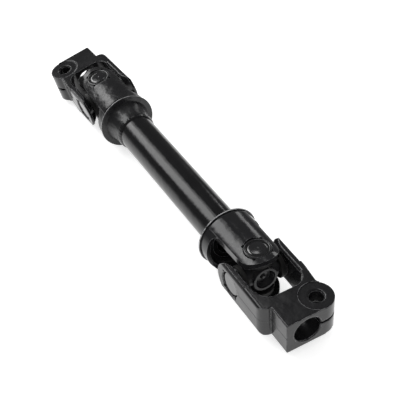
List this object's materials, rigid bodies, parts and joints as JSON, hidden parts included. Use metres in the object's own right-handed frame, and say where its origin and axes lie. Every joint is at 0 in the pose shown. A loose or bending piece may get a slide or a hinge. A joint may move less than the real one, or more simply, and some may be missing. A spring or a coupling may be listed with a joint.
{
  "type": "intermediate steering shaft",
  "caption": "Black steering shaft: a tube with a universal joint at each end, each ending in a split clamp yoke with a cross hole for a pinch bolt",
  "frame": {"origin": "on the axis of the lower clamp bore, level with its pinch bolt hole", "axes": "X along the shaft towards its lower end, Y towards the lower pinch bolt lug, Z along the bearing axis of the lower tube yoke"},
  "size_m": [0.3143, 0.0473, 0.0398],
  "materials": {
    "black_paint": "gloss black paint",
    "bare_steel": "ground bright",
    "seal_rubber": "matt black",
    "pad_nylon": "moulded natural"
  },
  "bodies": {
    "shaft": {"shaft_tube": "black_paint", "lower_tube_yoke": "black_paint", "upper_tube_yoke": "black_paint", "lower_weld_bead": "black_paint", "upper_weld_bead": "black_paint", "lower_top_cup": "black_paint", "lower_bottom_cup": "black_paint", "upper_top_cup": "black_paint", "upper_bottom_cup": "black_paint", "lower_top_rollers": "bare_steel", "lower_bottom_rollers": "bare_steel", "upper_top_rollers": "bare_steel", "upper_bottom_rollers": "bare_steel", "lower_top_seal": "seal_rubber", "lower_bottom_seal": "seal_rubber", "upper_top_seal": "seal_rubber", "upper_bottom_seal": "seal_rubber"},
    "lower_spider": {"lower_cross": "black_paint", "lower_top_pad": "pad_nylon", "lower_bottom_pad": "pad_nylon", "lower_bolt_side_pad": "pad_nylon", "lower_plain_side_pad": "pad_nylon"},
    "upper_spider": {"upper_cross": "black_paint", "upper_top_pad": "pad_nylon", "upper_bottom_pad": "pad_nylon", "upper_bolt_side_pad": "pad_nylon", "upper_plain_side_pad": "pad_nylon"},
    "lower_clamp": {"lower_clamp_yoke": "black_paint", "lower_bolt_side_cup": "black_paint", "lower_plain_side_cup": "black_paint", "lower_bolt_side_rollers": "bare_steel", "lower_plain_side_rollers": "bare_steel", "lower_bolt_side_seal": "seal_rubber", "lower_plain_side_seal": "seal_rubber"},
    "upper_clamp": {"upper_clamp_yoke": "black_paint", "upper_bolt_side_cup": "black_paint", "upper_plain_side_cup": "black_paint", "upper_bolt_side_rollers": "bare_steel", "upper_plain_side_rollers": "bare_steel", "upper_bolt_side_seal": "seal_rubber", "upper_plain_side_seal": "seal_rubber"}
  },
  "joints": [
    {"name": "lower_swing", "type": "hinge", "parent": "shaft", "child": "lower_spider", "pos_m": [-0.04058, 0, 0.0012], "axis": [0, 0, 1], "range_deg": [-25, 25]},
    {"name": "lower_tilt", "type": "hinge", "parent": "lower_spider", "child": "lower_clamp", "pos_m": [-0.04058, 0, 0.0012], "axis": [0, 1, 0], "range_deg": [-26.7, 23.3]},
    {"name": "upper_swing", "type": "hinge", "parent": "shaft", "child": "upper_spider", "pos_m": [-0.25238, 0, 0.0012], "axis": [0, -0.1857, 0.9826], "range_deg": [-26.8, 23.2]},
    {"name": "upper_tilt", "type": "hinge", "parent": "upper_spider", "child": "upper_clamp", "pos_m": [-0.25238, 0, 0.0012], "axis": [-0.0314, 0.9821, 0.1856], "range_deg": [-23.8, 26.2]}
  ]
}
